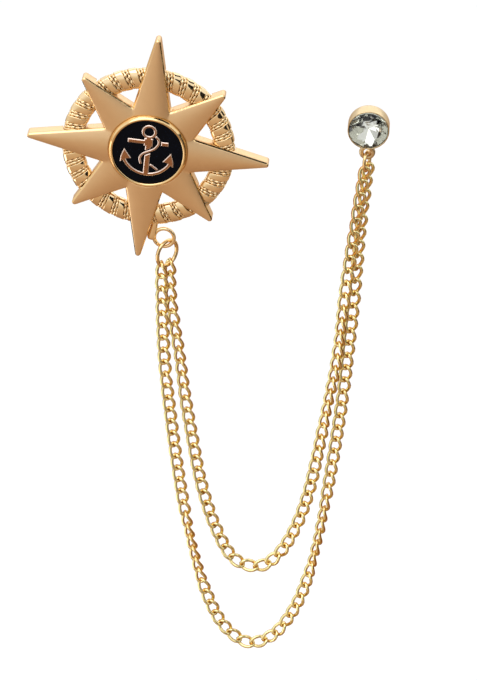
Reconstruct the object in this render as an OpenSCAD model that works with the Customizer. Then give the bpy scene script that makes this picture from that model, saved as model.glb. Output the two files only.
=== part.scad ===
// Star tie pin: an eight-rayed compass star on a rope ring, with an anchor in black enamel at its
// centre, joined to a small crystal stud by two hanging strands of fine curb chain.
// Millimetres. +Z is up, the front faces -Y and the cloth that it is pinned to lies at Y = 0.
// The origin is the point behind the star's centre where its post goes into the cloth.

/* [Star] */
// Centre of the star to the point where the straight sides of a long ray would meet
long_apex = 22.8; // [22:0.1:23.4]
// Centre of the star to the point where the straight sides of a short ray would meet
short_apex = 18.4; // [17.5:0.1:19.2]
// Centre of the star to the notch between two rays
notch_r = 8.4; // [8:0.1:9]
// Upper edges of the rays above the cloth
star_edge_h = 2.7; // [2.6:0.05:3.2]
// Back of the star above the cloth
star_back_h = 0.4; // [0.3:0.05:0.42]
// Slope of a ray's rounded top, from its tip to the centre, in degrees
ray_slope = 2.3; // [1.5:0.1:3]
// Radius of a ray's rounded tip
ray_tip_r = 0.5; // [0.3:0.05:0.55]
// Turn of the star to the right, seen from the front, in degrees
star_turn = 5.8; // [0:0.1:10]

/* [Medallion] */
// Outer radius of the gold cup that holds the enamel
cup_r = 6.8; // [6.6:0.05:6.9]
// Width of the bevel from the cup's outside to its rim
cup_bevel_w = 0.4; // [0.3:0.05:0.5]
// Width of the cup's thin rim
cup_rim_w = 0.35; // [0.3:0.05:0.5]
// Front of the cup's rim above the cloth
cup_h = 3.9; // [3.8:0.05:4.1]
// How far the enamel's face lies below the rim
enamel_drop = 0.35; // [0.3:0.05:0.45]
// Thickness of the enamel
enamel_t = 0.5; // [0.3:0.05:0.6]
// Thickness of the raised anchor
anchor_t = 0.2; // [0.15:0.05:0.25]
// How far the medallion sits to the right of the star's centre
medal_right = 0.1; // [0:0.05:0.3]
// How far the medallion sits above the star's centre
medal_up = 0.2; // [0:0.05:0.3]

/* [Rope ring] */
// Radius of the rope ring's centre line
rope_r = 13.1; // [12.8:0.1:13.3]
// Width of the rope, seen from the front
rope_w = 3.8; // [3.4:0.1:4]
// Thickness of the rope, front to back
rope_t = 2.2; // [1.8:0.1:2.3]
// Middle of the rope above the cloth
rope_mid_h = 1.2; // [1.15:0.05:1.3]
// Inner radius of the hanging eye under the rope ring
eye_hole_r = 1.4; // [1.3:0.05:1.45]
// Wire diameter of the hanging eye
eye_wire = 0.7; // [0.6:0.05:0.7]

/* [Jump rings] */
// Outer diameter of the jump ring under the star
star_ring_d = 5.5; // [5.3:0.1:5.7]
// Wire diameter of the jump ring under the star
star_ring_wire = 0.7; // [0.6:0.05:0.7]
// Turn of that ring about the vertical, away from the front, in degrees
star_ring_turn = 51; // [45:1:55]
// Outer diameter of the jump ring under the stud
stud_ring_d = 4.0; // [3.9:0.05:4.1]
// Wire diameter of the jump ring under the stud
stud_ring_wire = 0.6; // [0.5:0.05:0.6]
// Turn of that ring about the vertical, away from the front, in degrees
stud_ring_turn = 75; // [70:1:90]

/* [Chain] */
// Width of a strand of curb chain
strand_d = 2.1; // [1.8:0.05:2.1]

/* [Stud] */
// Outer radius of the stud's gold cup
stud_r = 3.56; // [3.5:0.01:3.6]
// Depth of the cup, front to back
stud_h = 3.0; // [2.8:0.05:3.2]
// Wall of the cup round the stone
stud_wall = 0.2; // [0.1:0.01:0.3]
// Height of the stone's faceted crown above the cup's rim
crown_h = 0.75; // [0.5:0.05:1]
// Radius of the flat table on top of the stone
table_r = 1.75; // [1.4:0.05:2]

/* [Posts] */
// Radius of each pointed post
post_r = 0.5; // [0.45:0.01:0.55]
// Length of the star's post behind the cloth's face
star_post_len = 8; // [6:0.5:9]
// Length of the stud's post behind the cloth's face
stud_post_len = 5.5; // [4.5:0.1:6]
// Length of a post's point
point_len = 1.5; // [1:0.1:2]
// Radius of the flat foot at the head of each post
foot_r = 2.2; // [1.8:0.1:2.4]
// Thickness of that foot
foot_t = 0.45; // [0.3:0.05:0.6]

/* [Hidden] */
$fn = 64;
// Gap between two pieces that are seated in each other
gap = 0.05;
// Reach of a cutting solid past the face that it cuts
past = 1;

ray_count = 8;
ray_pitch = 360 / ray_count;
tip_steps = 6;
// Half angle at the tip of a ray whose sides meet at the apex and pass through the notches
function ray_half_angle(apex) = atan(notch_r * sin(ray_pitch / 2) / (apex - notch_r * cos(ray_pitch / 2)));
// Tilt below the star's edge plane of the cone that forms a ray's rounded top
function ray_cone_tilt(half) = atan((cos(ray_slope) - cos(half)) / sin(ray_slope));

// Slab that the rays' rounded tops are cut from: how far it reaches below and above the edge plane
cap_sink = 0.2;
cap_rise = 1.6;
// The cones that shape those tops: how far they start below the edge plane and reach past the centre
cone_sink = 0.03;
cone_past = 2;
cone_sides = 180;
// Floor of the seat that the medallion drops into
seat_h = 2;
// Height at which the cup's bevel starts, and the radius inside its rim
cup_bevel_h = 3.35;
cup_bore_r = cup_r - cup_bevel_w - cup_rim_w;

// Rope ring: its section is a slot with round ends
rope_sides = 120;
rope_end_r = rope_t / 2;
rope_half_flat = rope_w / 2 - rope_end_r;

// Hanging eye under the rope ring
eye_x = 2.45;
eye_z = -17.68;
eye_mid_r = eye_hole_r + eye_wire / 2;
// Lug that carries the eye: its lower and upper ends, which both lie close to the bottom ray's side
lug_t = 1.2;
lug_low = [0.3, -17.45];
lug_low_r = 0.8;
lug_high = [0.95, -14.6];
lug_high_r = 0.52;

// Jump ring under the star: it hangs on the eye's lower wire, a hair above it
ring_play = 0.26;
star_ring_x = 2.95;
star_ring_r = (star_ring_d - star_ring_wire) / 2;
eye_seat_z = eye_z - sqrt(pow(eye_mid_r, 2) - pow(star_ring_x - eye_x, 2));
star_ring_z = eye_seat_z + (eye_wire + star_ring_wire) / 2 + ring_play - star_ring_r;

// Stud: centre of its cup, and the eye soldered under it, which bites a little into the cup
stud_x = 37.8;
stud_z = 5.45;
stud_eye_x = 37.65;
stud_eye_h = 1.65;
stud_eye_wire = 0.8;
stud_eye_r = 1;
stud_eye_bite = 0.26;
stud_eye_z = stud_z - stud_r - stud_eye_r - stud_eye_wire / 2 + stud_eye_bite;
stud_ring_r = (stud_ring_d - stud_ring_wire) / 2;
stud_ring_z = stud_eye_z - stud_eye_r + (stud_eye_wire + stud_ring_wire) / 2 + ring_play - stud_ring_r;

// Stone in its cup, and the ledge inside the cup under the stone's edge
stone_sides = 8;
stone_r = stud_r - stud_wall - gap;
girdle_h = 0.3;
pavilion_h = 1.5;
culet_r = 0.3;
seat_ledge = 0.25;

// Blunt end of a post's point
point_r = 0.08;

// Routes of the two strands, from the star's jump ring to the stud's: x, y, z of each point
outer_route = [
    [1.9, -2.2, -23.8], [2.05, -2, -34], [2.35, -1.8, -44], [3.15, -1.5, -54], [4.15, -1.35, -64],
    [5.4, -1.3, -74], [7.1, -1.3, -84], [9.5, -1.3, -93.9], [12.8, -1.3, -101.4], [17.5, -1.3, -105.37],
    [22.3, -1.3, -102.9], [26, -1.3, -97], [28.5, -1.3, -89.7], [30.3, -1.3, -81], [31.8, -1.2, -71],
    [33.2, -1.1, -60], [34.4, -1, -49], [35.3, -0.85, -38], [36.1, -0.75, -27], [36.75, -0.65, -15.5],
    [37, -0.55, -3.5]];
inner_route = [
    [2.95, -0.25, -23.8], [3.4, -0.45, -27.8], [3.75, -0.6, -33], [4.95, -0.9, -42],
    [5.95, -1.2, -51], [7.25, -1.4, -60], [8.7, -1.4, -69.1], [11.15, -1.4, -78.3],
    [14.6, -1.4, -85.5], [19.3, -1.4, -87.15], [23, -1.4, -84.3], [26, -1.4, -78.5],
    [28.3, -1.4, -71], [30, -1.5, -62], [31.6, -1.8, -51.5], [33.2, -2.25, -41],
    [34.1, -2.4, -31], [35.1, -2.55, -21], [36.15, -2.75, -11.5], [37.4, -2.8, -3.5]];
// Sides of a strand's tube, and rings from one route point to the next
tube_sides = 8;
tube_steps = 2;

// Point at t, from 0 to 1, on the smooth curve from p[i] to p[i + 1] through its neighbours
function curve_point(p, i, t) =
    let (last = len(p) - 1)
    let (a = p[max(i - 1, 0)])
    let (b = p[i])
    let (c = p[min(i + 1, last)])
    let (d = p[min(i + 2, last)])
    b + (c - a) * t / 2 + (2 * a - 5 * b + 4 * c - d) * t * t / 2
        + (3 * b - a - 3 * c + d) * t * t * t / 2;

// Every ring centre along a route
function smooth_route(p, steps) =
    [for (i = [0:len(p) - 2], k = [0:steps - 1]) curve_point(p, i, k / steps), p[len(p) - 1]];

// Unit vector along v
function unit(v) = v / norm(v);

// Flat unit vector at an angle
function toward(angle) = [cos(angle), sin(angle)];

// Direction of the route at its point i
function heading(q, i) = unit(q[min(i + 1, len(q) - 1)] - q[max(i - 1, 0)]);

// Ring of points round the route's point i, square to its heading
function tube_ring(q, i, r) =
    let (along = heading(q, i))
    let (side = unit(cross(along, [0, 1, 0])))
    let (front = cross(side, along))
    [for (k = [0:tube_sides - 1])
        q[i] + r * (side * cos(k * 360 / tube_sides) + front * sin(k * 360 / tube_sides))];

// Round tube along a route, closed at both ends
module tube(route, d) {
    q = smooth_route(route, tube_steps);
    rings = len(q);
    points = [for (i = [0:rings - 1]) each tube_ring(q, i, d / 2)];
    walls = [for (i = [0:rings - 2], k = [0:tube_sides - 1])
        let (a = i * tube_sides)
        let (b = (k + 1) % tube_sides)
        [a + k, a + b, a + b + tube_sides, a + k + tube_sides]];
    start = [for (k = [tube_sides - 1:-1:0]) k];
    end = [for (k = [0:tube_sides - 1]) (rings - 1) * tube_sides + k];
    polyhedron(points, concat([start, end], walls));
}

// Stands what is drawn face up so that its face points to the front, -Y
module to_front() {
    rotate([90, 0, 0]) children();
}

// The same, turned with the star
module to_star() {
    to_front() rotate([0, 0, -star_turn]) children();
}

// The same, centred on the medallion
module to_medal() {
    to_star() translate([medal_right, medal_up, 0]) children();
}

// Ring of round wire, drawn flat
module wire_ring(mid_r, wire) {
    rotate_extrude() translate([mid_r, 0]) circle(d = wire);
}

// Ring of round wire that stands upright, turned about the vertical
module hanging_ring(x, y, z, turn, mid_r, wire) {
    translate([x, y, z]) rotate([0, 0, turn]) to_front() wire_ring(mid_r, wire);
}

// A flat point turned to the left about the centre
function turned(p, angle) = [p.x * cos(angle) - p.y * sin(angle), p.x * sin(angle) + p.y * cos(angle)];

// Points round a ray's blunt tip, from its right side to its left
function tip_points(apex) =
    let (half = ray_half_angle(apex))
    let (centre_y = apex - ray_tip_r / sin(half))
    let (sweep = 180 - 2 * half)
    [for (k = [0:tip_steps]) let (a = half + sweep * k / tip_steps)
        [ray_tip_r * cos(a), centre_y + ray_tip_r * sin(a)]];

// Apex of the ray at place k round the star: long and short rays take turns
function apex_of(k) = k % 2 == 0 ? long_apex : short_apex;

// Outline of the whole star, ray by ray, with a notch after each
function star_points() =
    [for (k = [0:ray_count - 1])
        each [for (p = concat(tip_points(apex_of(k)), [turned([0, notch_r], ray_pitch / 2)]))
            turned(p, ray_pitch * k)]];

// Cone whose top edge lines run along a ray's two upper edges, for its rounded top
module ray_cone(apex) {
    tilt = ray_cone_tilt(ray_half_angle(apex));
    cone_l = apex + cone_past;
    translate([0, apex, star_edge_h - cone_sink]) rotate([90 + tilt, 0, 0])
        cylinder(h = cone_l, r1 = 0, r2 = cone_l * tan(tilt + ray_slope), $fn = cone_sides);
}

// The rays with straight walls and rounded tops that meet in soft valleys
module star_body() {
    translate([0, 0, star_back_h]) linear_extrude(star_edge_h - star_back_h) polygon(star_points());
    intersection() {
        translate([0, 0, star_edge_h - cap_sink]) linear_extrude(cap_sink + cap_rise) polygon(star_points());
        union() {
            for (k = [0:2:ray_count - 1]) rotate([0, 0, ray_pitch * k]) ray_cone(long_apex);
            for (k = [1:2:ray_count - 1]) rotate([0, 0, ray_pitch * k]) ray_cone(short_apex);
        }
    }
}

// Channel in the star's back that the rope ring lies in
module rope_channel() {
    rotate_extrude($fn = rope_sides) translate([rope_r, rope_mid_h]) rope_section(gap);
    rotate_extrude($fn = rope_sides) translate([rope_r - rope_w / 2 - gap, -past])
        square([rope_w + 2 * gap, rope_mid_h + past]);
}

// Slot-shaped section of the rope, made larger all round by grow
module rope_section(grow) {
    square([2 * rope_half_flat, rope_t + 2 * grow], center = true);
    for (side = [-1, 1]) translate([side * rope_half_flat, 0]) circle(rope_end_r + grow);
}

// Satin compass star: four long and four short rays round the medallion's seat
module star() {
    color("burlywood") to_star() difference() {
        star_body();
        rope_channel();
        translate([medal_right, medal_up, seat_h]) cylinder(h = cup_h, r = cup_r + gap);
        translate([0, 0, -past]) cylinder(h = past + foot_t + gap, r = foot_r + gap);
    }
}

// Rope ring behind the rays, with the eye that the chains hang from
module rope_ring() {
    color("goldenrod") union() {
        to_front() rotate_extrude($fn = rope_sides) translate([rope_r, rope_mid_h]) rope_section(0);
        hanging_ring(eye_x, -rope_mid_h, eye_z, 0, eye_mid_r, eye_wire);
        eye_lug();
    }
}

// Lug from the rope ring down to the eye: two round ends joined by their outer tangents
module eye_lug() {
    along = lug_high - lug_low;
    lean = atan2(along.y, along.x);
    spread = acos((lug_low_r - lug_high_r) / norm(along));
    to_front() translate([0, 0, rope_mid_h - lug_t / 2]) linear_extrude(lug_t) {
        translate(lug_low) circle(lug_low_r);
        translate(lug_high) circle(lug_high_r);
        polygon([
            lug_low + lug_low_r * toward(lean - spread), lug_high + lug_high_r * toward(lean - spread),
            lug_high + lug_high_r * toward(lean + spread), lug_low + lug_low_r * toward(lean + spread)]);
    }
}

// Gold cup with a thin rim, set into the star's centre
module medallion_cup() {
    floor_h = cup_h - enamel_drop - enamel_t - gap;
    color("gold") to_medal() difference() {
        union() {
            translate([0, 0, seat_h + gap]) cylinder(h = cup_bevel_h - seat_h - gap, r = cup_r);
            translate([0, 0, cup_bevel_h])
                cylinder(h = cup_h - cup_bevel_h, r1 = cup_r, r2 = cup_r - cup_bevel_w);
        }
        translate([0, 0, floor_h]) cylinder(h = cup_h, r = cup_bore_r);
    }
}

// Disc of black enamel in the cup
module enamel() {
    color("black") to_medal() translate([0, 0, cup_h - enamel_drop - enamel_t])
        cylinder(h = enamel_t, r = cup_bore_r - gap);
}

// Anchor measures: x to the right and y up from its own centre, which lies a little off the disc's
anchor_at = [-0.13, 0.15];
anchor_ring_y = 3.8;
anchor_ring_r = 1.06;
anchor_ring_w = 0.48;
shank_x = 0.1;
shank_w = 0.95;
shank_top = 3;
shank_end = -4.5;
stock_y = 1.8;
stock_w = 0.75;
stock_left = -3.45;
stock_right = 3.55;
stock_break = 2.3;
collar = 1.5;
arm_y = 0.05;
arm_r = 4.4;
arm_w = 0.55;
arm_half_angle = 65;
// One fluke, its tip first
fluke = [[4.05, 0.2], [2.7, -1.62], [3.45, -1.75], [3.85, -2.05], [4.62, -2.5], [4.55, -1.4]];
// The rope that winds round the shank, and its end that shows again below
rope_route = [[1.4, 2.95], [1.8, 2.45], [1.85, 1.6], [1.15, 0.6], [0.1, 0], [-0.75, -0.55], [-1.15, -1.4],
              [-0.95, -2.3]];
rope_end_route = [[0.85, -2.5], [1.4, -2.85], [1.95, -3.2]];
rope_wire = 0.42;
rope_margin = 0.2;
band_steps = 4;
band_end_steps = 8;

// Direction square to a flat route at its point i, to its left
function left_of(q, i) =
    let (along = q[min(i + 1, len(q) - 1)] - q[max(i - 1, 0)])
    [-along.y, along.x] / norm(along);

// Half circle round the centre c, turning right from a first direction
function round_end(c, from, r) =
    [for (k = [1:band_end_steps - 1]) c + r * turned(from, -180 * k / band_end_steps)];

// Outline of a flat band of width w along a smooth route, with round ends
function band_points(route, w) =
    let (q = smooth_route(route, band_steps))
    let (last = len(q) - 1)
    let (left = [for (i = [0:last]) q[i] + left_of(q, i) * w / 2])
    let (right = [for (i = [last:-1:0]) q[i] - left_of(q, i) * w / 2])
    let (far_end = round_end(q[last], left_of(q, last), w / 2))
    let (near_end = round_end(q[0], -left_of(q, 0), w / 2))
    concat(left, far_end, right, near_end);

// Route without its first point
function rest_of(route) = [for (i = [1:len(route) - 1]) route[i]];

// Flat bar of the anchor's thickness, from one corner to the opposite one
module bar(from, to) {
    translate([from.x, from.y, 0]) cube([to.x - from.x, to.y - from.y, anchor_t]);
}

// Flat ring of the anchor's thickness
module flat_ring(r, w) {
    difference() {
        cylinder(h = anchor_t, r = r + w / 2);
        translate([0, 0, -past]) cylinder(h = anchor_t + 2 * past, r = r - w / 2);
    }
}

// Far corner of the wedge that ends an arm, on the side given
function arm_reach(side) = 2 * arm_r * [side * sin(arm_half_angle), -cos(arm_half_angle)];

// The anchor without its rope
module anchor_body() {
    translate([shank_x, anchor_ring_y, 0]) flat_ring(anchor_ring_r, anchor_ring_w);
    bar([shank_x - shank_w / 2, shank_end], [shank_x + shank_w / 2, shank_top]);
    bar([shank_x - collar / 2, stock_y - collar / 2], [shank_x + collar / 2, stock_y + collar / 2]);
    bar([stock_left, stock_y - stock_w / 2], [shank_x, stock_y + stock_w / 2]);
    bar([stock_break, stock_y - stock_w / 2], [stock_right, stock_y + stock_w / 2]);
    translate([shank_x, arm_y, 0]) intersection() {
        flat_ring(arm_r, arm_w);
        translate([0, 0, -past]) linear_extrude(anchor_t + 2 * past)
            polygon([[0, 0], arm_reach(-1), [0, -2 * arm_r], arm_reach(1)]);
    }
    for (side = [-1, 1])
        translate([shank_x, 0, 0]) linear_extrude(anchor_t) polygon([for (p = fluke) [side * p.x, p.y]]);
}

// Anchor with a rope wound round it, raised on the enamel
module anchor() {
    color("peru") to_medal() translate([anchor_at.x, anchor_at.y, cup_h - enamel_drop + gap / 2]) {
        difference() {
            anchor_body();
            translate([0, 0, -past]) linear_extrude(anchor_t + 2 * past)
                polygon(band_points(rest_of(rope_route), rope_wire + 2 * rope_margin));
        }
        linear_extrude(anchor_t) polygon(band_points(rope_route, rope_wire));
        linear_extrude(anchor_t) polygon(band_points(rope_end_route, rope_wire));
    }
}

// Jump ring that carries both strands under the star
module star_jump_ring() {
    color("gold")
        hanging_ring(star_ring_x, -rope_mid_h, star_ring_z, star_ring_turn, star_ring_r, star_ring_wire);
}

// Jump ring that carries both strands under the stud
module stud_jump_ring() {
    color("gold")
        hanging_ring(stud_eye_x, -stud_eye_h, stud_ring_z, stud_ring_turn, stud_ring_r, stud_ring_wire);
}

// Longer strand, on the outside
module chain_outer() {
    color("gold") tube(outer_route, strand_d);
}

// Shorter strand, on the inside
module chain_inner() {
    color("khaki") tube(inner_route, strand_d);
}

// Stud's smooth cup, hollow for the stone, with the eye soldered under it
module stud_cup() {
    ledge_h = stud_h - girdle_h;
    color("gold") union() {
        to_front() translate([stud_x, stud_z, 0]) difference() {
            cylinder(h = stud_h, r = stud_r);
            translate([0, 0, ledge_h]) cylinder(h = girdle_h + past, r = stone_r + gap);
            translate([0, 0, ledge_h - pavilion_h - gap])
                cylinder(h = pavilion_h + past, r = stone_r - seat_ledge + gap);
            translate([0, 0, -past]) cylinder(h = past + foot_t + gap, r = foot_r + gap);
        }
        hanging_ring(stud_eye_x, -stud_eye_h, stud_eye_z, 0, stud_eye_r, stud_eye_wire);
    }
}

// Stone: a round girdle, a crown of eight facets with a flat table, and a pointed pavilion
module stone() {
    color("lightcyan") to_front() translate([stud_x, stud_z, stud_h - girdle_h + gap]) {
        cylinder(h = girdle_h, r = stone_r);
        intersection() {
            translate([0, 0, girdle_h])
                cylinder(h = crown_h, r1 = stone_r / cos(180 / stone_sides), r2 = table_r, $fn = stone_sides);
            cylinder(h = girdle_h + crown_h, r = stone_r);
        }
        translate([0, 0, -pavilion_h])
            cylinder(h = pavilion_h, r1 = culet_r, r2 = stone_r - seat_ledge, $fn = stone_sides);
    }
}

// Pointed post on a flat foot, let into the back of what it carries
module post(x, z, reach) {
    straight = reach - point_len;
    translate([x, 0, z]) rotate([-90, 0, 0]) {
        translate([0, 0, -foot_t]) cylinder(h = foot_t, r = foot_r);
        translate([0, 0, -foot_t / 2]) cylinder(h = straight + foot_t / 2, r = post_r);
        translate([0, 0, straight]) cylinder(h = point_len, r1 = post_r, r2 = point_r);
    }
}

// Post behind the star
module star_post() {
    color("silver") post(0, 0, star_post_len);
}

// Post behind the stud
module stud_post() {
    color("silver") post(stud_x, stud_z, stud_post_len);
}

star();
rope_ring();
medallion_cup();
enamel();
anchor();
star_jump_ring();
chain_outer();
chain_inner();
stud_jump_ring();
stud_cup();
stone();
star_post();
stud_post();
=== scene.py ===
"""Star tie pin: a satin compass star on a rope ring, an anchor in black enamel at its centre, and two
strands of fine curb chain that hang from it to a small crystal stud.

Shapes are worked out in millimetres in the face frame of the object (x to the right, y up and h to the
front, from the plane of the cloth) and turned into the row frame, in metres, when their mesh is made."""

import math
from contextlib import contextmanager
from types import SimpleNamespace

import bmesh
import bpy
import numpy as np
from bpy.props import FloatProperty, FloatVectorProperty, IntProperty, PointerProperty
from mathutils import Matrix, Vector


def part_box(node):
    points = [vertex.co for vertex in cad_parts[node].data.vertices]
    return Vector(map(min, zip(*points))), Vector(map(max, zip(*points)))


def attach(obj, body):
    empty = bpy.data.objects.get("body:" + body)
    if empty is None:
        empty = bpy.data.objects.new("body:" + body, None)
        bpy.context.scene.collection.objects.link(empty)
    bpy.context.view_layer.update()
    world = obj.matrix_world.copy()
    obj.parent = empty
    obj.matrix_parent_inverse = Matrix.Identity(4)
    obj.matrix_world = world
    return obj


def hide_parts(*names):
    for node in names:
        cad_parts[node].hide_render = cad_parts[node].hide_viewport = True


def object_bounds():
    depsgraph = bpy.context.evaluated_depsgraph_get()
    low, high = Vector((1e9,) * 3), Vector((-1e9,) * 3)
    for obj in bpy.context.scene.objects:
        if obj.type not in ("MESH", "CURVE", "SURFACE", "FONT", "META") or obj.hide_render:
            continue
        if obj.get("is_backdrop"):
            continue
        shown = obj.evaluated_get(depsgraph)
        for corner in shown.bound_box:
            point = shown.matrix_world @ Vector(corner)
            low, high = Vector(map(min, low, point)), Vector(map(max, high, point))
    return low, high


bl_info = {
    "name": "Star tie pin",
    "version": (1, 0, 0),
    "blender": (4, 5, 0),
    "location": "3D View > Sidebar > Tie pin",
    "description": "Builds a star tie pin with two curb chains and a crystal stud round its packed frame",
    "category": "Add Mesh",
}

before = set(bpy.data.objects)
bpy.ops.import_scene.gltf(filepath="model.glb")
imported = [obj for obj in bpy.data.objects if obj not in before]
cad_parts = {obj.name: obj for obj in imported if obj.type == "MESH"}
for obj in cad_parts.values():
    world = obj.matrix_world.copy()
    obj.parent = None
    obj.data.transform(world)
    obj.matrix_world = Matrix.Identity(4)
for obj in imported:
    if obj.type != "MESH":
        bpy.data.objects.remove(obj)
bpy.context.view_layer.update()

MM = 0.001
TURN = 2 * math.pi


# Reading the frame

def node_box(node):
    """Lowest and highest corner of a CAD node in the face frame, in millimetres: x, up and front."""
    low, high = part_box(node)
    return (np.array((low.x, low.z, -high.y)) / MM, np.array((high.x, high.z, -low.y)) / MM)


CUP_LOW, CUP_HIGH = node_box("medallion_cup")
MEDAL = (CUP_LOW + CUP_HIGH) / 2
MEDAL_R = (CUP_HIGH[0] - CUP_LOW[0]) / 2
ENAMEL_LOW, ENAMEL_HIGH = node_box("enamel")
ROPE_LOW, ROPE_HIGH = node_box("rope_ring")
STAR_RING_LOW, STAR_RING_HIGH = node_box("star_jump_ring")
STUD_RING_LOW, STUD_RING_HIGH = node_box("stud_jump_ring")
STUD_LOW, STUD_HIGH = node_box("stud_cup")
STONE_LOW, STONE_HIGH = node_box("stone")

# Fits of the CAD model, in millimetres: the gap round a seated piece, and the recess behind the star and
# the stud that a post's foot fills
GAP = 0.05
RECESS_R, RECESS_H = 2.25, 0.5


# Properties: lengths are shown in scene units and are read in millimetres

def length(name, description, value):
    """A length property whose default is given in millimetres."""
    return FloatProperty(name=name, description=description, default=value * MM, unit="LENGTH", precision=5)


def angle(name, description, value):
    """An angle property whose default is given in degrees."""
    return FloatProperty(name=name, description=description, default=math.radians(value), subtype="ANGLE")


def linear(code):
    """Linear colour, with alpha, of an sRGB hex code."""
    values = np.array([int(code[i:i + 2], 16) for i in (1, 3, 5)]) / 255
    straight = np.where(values <= 0.04045, values / 12.92, ((values + 0.055) / 1.055) ** 2.4)
    return (*straight.tolist(), 1.0)


def colour(name, description, code):
    """A colour property whose default is given as an sRGB hex code."""
    return FloatVectorProperty(name=name, description=description, default=linear(code), size=4,
                               subtype="COLOR", min=0, max=1)


class StarSizes(bpy.types.PropertyGroup):
    """Sizes of the compass star"""
    long_apex: length("Long ray", "Centre to the point where a long ray's sides would meet", 22.8)
    short_apex: length("Short ray", "Centre to the point where a short ray's sides would meet", 18.4)
    notch_r: length("Notch", "Centre to the notch between two rays", 8.4)
    edge_h: length("Edge", "Upper edges of the star, in front of the cloth", 2.7)
    back_h: length("Back", "Back of the star, in front of the cloth", 0.4)
    slope: angle("Slope", "Slope of a ray's crest from its tip to the centre", 2.3)
    tip_r: length("Tip", "Radius of a ray's rounded tip", 0.5)
    turn: angle("Turn", "Turn of the star to the right, seen from the front", 5.8)
    chamfer: length("Chamfer", "Width of the polished chamfer round the rays, which drops as far", 0.2)


class RingSizes(bpy.types.PropertyGroup):
    """Sizes of the rope ring, the hanging eye and the jump rings"""
    rope_w: length("Rope width", "Width of the rope, seen from the front", 3.8)
    rope_t: length("Rope thickness", "Thickness of the rope, front to back", 2.2)
    windings: IntProperty(name="Windings", description="Turns of the wound wire round the ring", default=36,
                          min=12, max=60)
    bead_count: IntProperty(name="Beads", description="Beads on each turn of a beaded wire", default=11,
                            min=6, max=40)
    eye_x: length("Eye place", "Hanging eye's centre, to the right of the star's centre", 2.45)
    eye_z: length("Eye height", "Hanging eye's centre, above the star's centre", -17.68)
    eye_r: length("Eye radius", "Radius of the hanging eye, to the middle of its wire", 1.75)
    eye_wire: length("Eye wire", "Wire diameter of the hanging eye", 0.7)
    lug_low_x: length("Lug foot", "Lug's lower end, to the right of the star's centre", 0.3)
    lug_low_z: length("Lug foot height", "Lug's lower end, above the star's centre", -17.45)
    lug_low_r: length("Lug foot radius", "Radius of the lug's lower end", 0.8)
    lug_high_x: length("Lug head", "Lug's upper end, to the right of the star's centre", 0.95)
    lug_high_z: length("Lug head height", "Lug's upper end, above the star's centre", -14.6)
    lug_high_r: length("Lug head radius", "Radius of the lug's upper end", 0.52)
    lug_t: length("Lug thickness", "Lug, front to back", 1.2)
    star_ring_wire: length("Star ring wire", "Wire diameter of the jump ring under the star", 0.7)
    star_ring_turn: angle("Star ring turn", "Turn of that ring away from the front", 51)
    stud_ring_wire: length("Stud ring wire", "Wire diameter of the jump ring under the stud", 0.6)
    stud_ring_turn: angle("Stud ring turn", "Turn of that ring away from the front", 75)


class ChainSizes(bpy.types.PropertyGroup):
    """Sizes of the curb chain"""
    pitch: length("Pitch", "Length of chain that each link adds", 2.55)
    width: length("Width", "Outer width of a link", 2.52)
    wire: length("Wire", "Wire diameter of a link", 0.62)
    twist: angle("Twist", "Turn of each end of a link about its long axis", 44)
    lean: angle("Lean", "Turn of a link in its own plane", -3)
    squareness: FloatProperty(name="Squareness", description="Power of the link's oval: 1 is an ellipse",
                              default=0.94, min=0.5, max=1.2)


class StudSizes(bpy.types.PropertyGroup):
    """Sizes of the crystal stud"""
    wall: length("Wall", "Wall of the cup round the stone", 0.2)
    table_r: length("Table", "Radius of the flat table on top of the stone", 1.75)
    crown_h: length("Crown", "Height of the stone's faceted crown", 0.75)
    girdle_h: length("Girdle", "Height of the stone's straight edge", 0.3)
    eye_x: length("Eye place", "Centre of the soldered eye, to the right of the star's centre", 37.65)
    eye_z: length("Eye height", "Centre of the soldered eye, above the star's centre", 0.75)
    eye_h: length("Eye front", "Centre of the soldered eye, in front of the cloth", 1.65)
    eye_r: length("Eye radius", "Radius of the soldered eye, to the middle of its wire", 1.0)
    eye_wire: length("Eye wire", "Wire diameter of the soldered eye", 0.8)


class FinishColours(bpy.types.PropertyGroup):
    """Colours of the finishes"""
    satin: colour("Satin gold", "Plating of the star's faces", "#F2CFA1")
    polished: colour("Polished gold", "Plating of the rings, the cups and the star's edges", "#F6D39A")
    rope: colour("Rope gold", "Plating of the wound wires", "#FFE4B6")
    stud: colour("Stud gold", "Plating of the stud's cup", "#DEC69C")
    chain: colour("Chain gold", "Plating of the chain", "#FFF0B0")
    # Painted shade: a darker gold for the sides of the links' wire, which outlines each link
    chain_side: colour("Chain side gold", "Plating on the sides of the links' wire", "#CE9048")
    # Painted shade: dark brown on the rope's core, for the shadow between the wound wires
    recess: colour("Recess gold", "Plating deep between the rope's wires", "#3A1E0B")
    anchor: colour("Anchor gold", "Plating of the raised anchor", "#C08A62")
    # Painted highlight: a pale, almost white gold on the anchor's bevelled edges
    anchor_edge: colour("Anchor edge", "Plating of the anchor's rubbed edges", "#F6E0D2")
    enamel: colour("Enamel", "Black enamel of the medallion", "#020409")
    crystal: colour("Crystal", "Tint of the stone", "#F8FBFF")
    foil: colour("Foil", "Silver foil behind the stone", "#E3E3D8")
    steel: colour("Steel", "Posts behind the star and the stud", "#B9BBBE")
    floor: colour("Floor", "Pale floor under the pin", "#FFFFFF")


class CameraPlace(bpy.types.PropertyGroup):
    """Place of the camera"""
    azimuth: angle("Azimuth", "Camera's turn to the right of the front", 4.4)
    elevation: angle("Elevation", "Camera's height above the horizontal", 31.0)
    lens: FloatProperty(name="Lens", description="Focal length on a 36 mm sensor", default=150, unit="CAMERA")
    target: FloatVectorProperty(name="Target", description="Point at the centre of the picture", size=3,
                                default=(0.01555, -0.0013, -0.0381), subtype="TRANSLATION")
    distance: length("Distance", "From the target to the camera", 506.97)


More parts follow.
